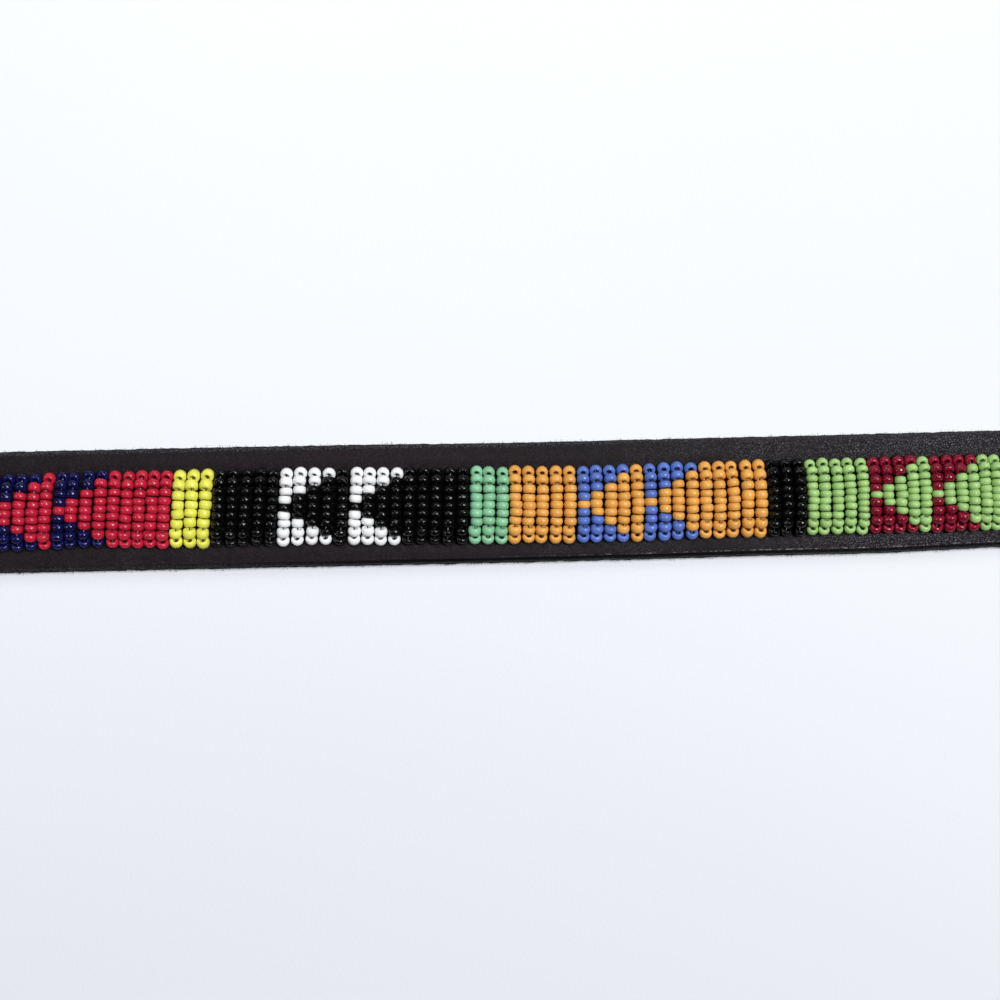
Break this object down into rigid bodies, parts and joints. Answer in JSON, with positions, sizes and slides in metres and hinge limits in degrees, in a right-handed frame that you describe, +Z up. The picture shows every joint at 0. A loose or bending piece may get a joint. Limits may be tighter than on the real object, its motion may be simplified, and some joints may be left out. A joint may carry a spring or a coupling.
{
  "type": "beaded leather belt",
  "caption": "Leather waist belt lying flat, its face sewn with columns of glass seed beads in triangle motifs between narrow stripes, with a wire buckle and punched tip.",
  "frame": {"origin": "middle of the belt's bounding box, on the surface that its underside rests on", "axes": "+X along the belt towards the tip, -X towards the buckle, +Y across the strap, +Z up out of the beaded face"},
  "size_m": [1.0326, 0.0394, 0.0072],
  "materials": {
    "leather": "near-black brown grain leather, matte to satin, finely creased",
    "leather_backing": "dark raw-edged leather, matte",
    "buckle_metal": "satin nickel",
    "beads_black": "opaque glossy glass",
    "beads_white": "opaque white glass, soft gloss",
    "beads_mint": "opaque mint green glass",
    "beads_orange": "opaque orange glass",
    "beads_blue": "opaque blue glass",
    "beads_lime": "opaque lime green glass",
    "beads_dark_red": "glossy dark red glass",
    "beads_red": "opaque red glass",
    "beads_navy": "glossy navy blue glass",
    "beads_yellow": "opaque yellow glass",
    "thread": "pale waxed thread",
    "stitching": "black waxed thread"
  },
  "bodies": {
    "root": {"front_leather": "leather", "backing_leather": "leather_backing", "buckle": "buckle_metal", "bead_stripe_01_yellow": "beads_yellow", "bead_motif_01_black": "beads_black", "bead_stripe_02_mint": "beads_mint", "bead_motif_02_orange": "beads_orange", "bead_stripe_03_black": "beads_black", "bead_motif_03_lime": "beads_lime", "bead_stripe_04_white": "beads_white", "bead_motif_04_red": "beads_red", "bead_stripe_05_yellow": "beads_yellow", "bead_motif_05_black": "beads_black", "bead_stripe_06_mint": "beads_mint", "bead_motif_06_orange": "beads_orange", "bead_stripe_07_black": "beads_black", "bead_motif_07_lime": "beads_lime", "bead_stripe_08_white": "beads_white", "bead_motif_08_red": "beads_red", "bead_stripe_09_yellow": "beads_yellow", "bead_motif_09_black": "beads_black", "bead_stripe_10_mint": "beads_mint", "bead_motif_10_orange": "beads_orange", "bead_stripe_11_black": "beads_black"}
  },
  "joints": []
}
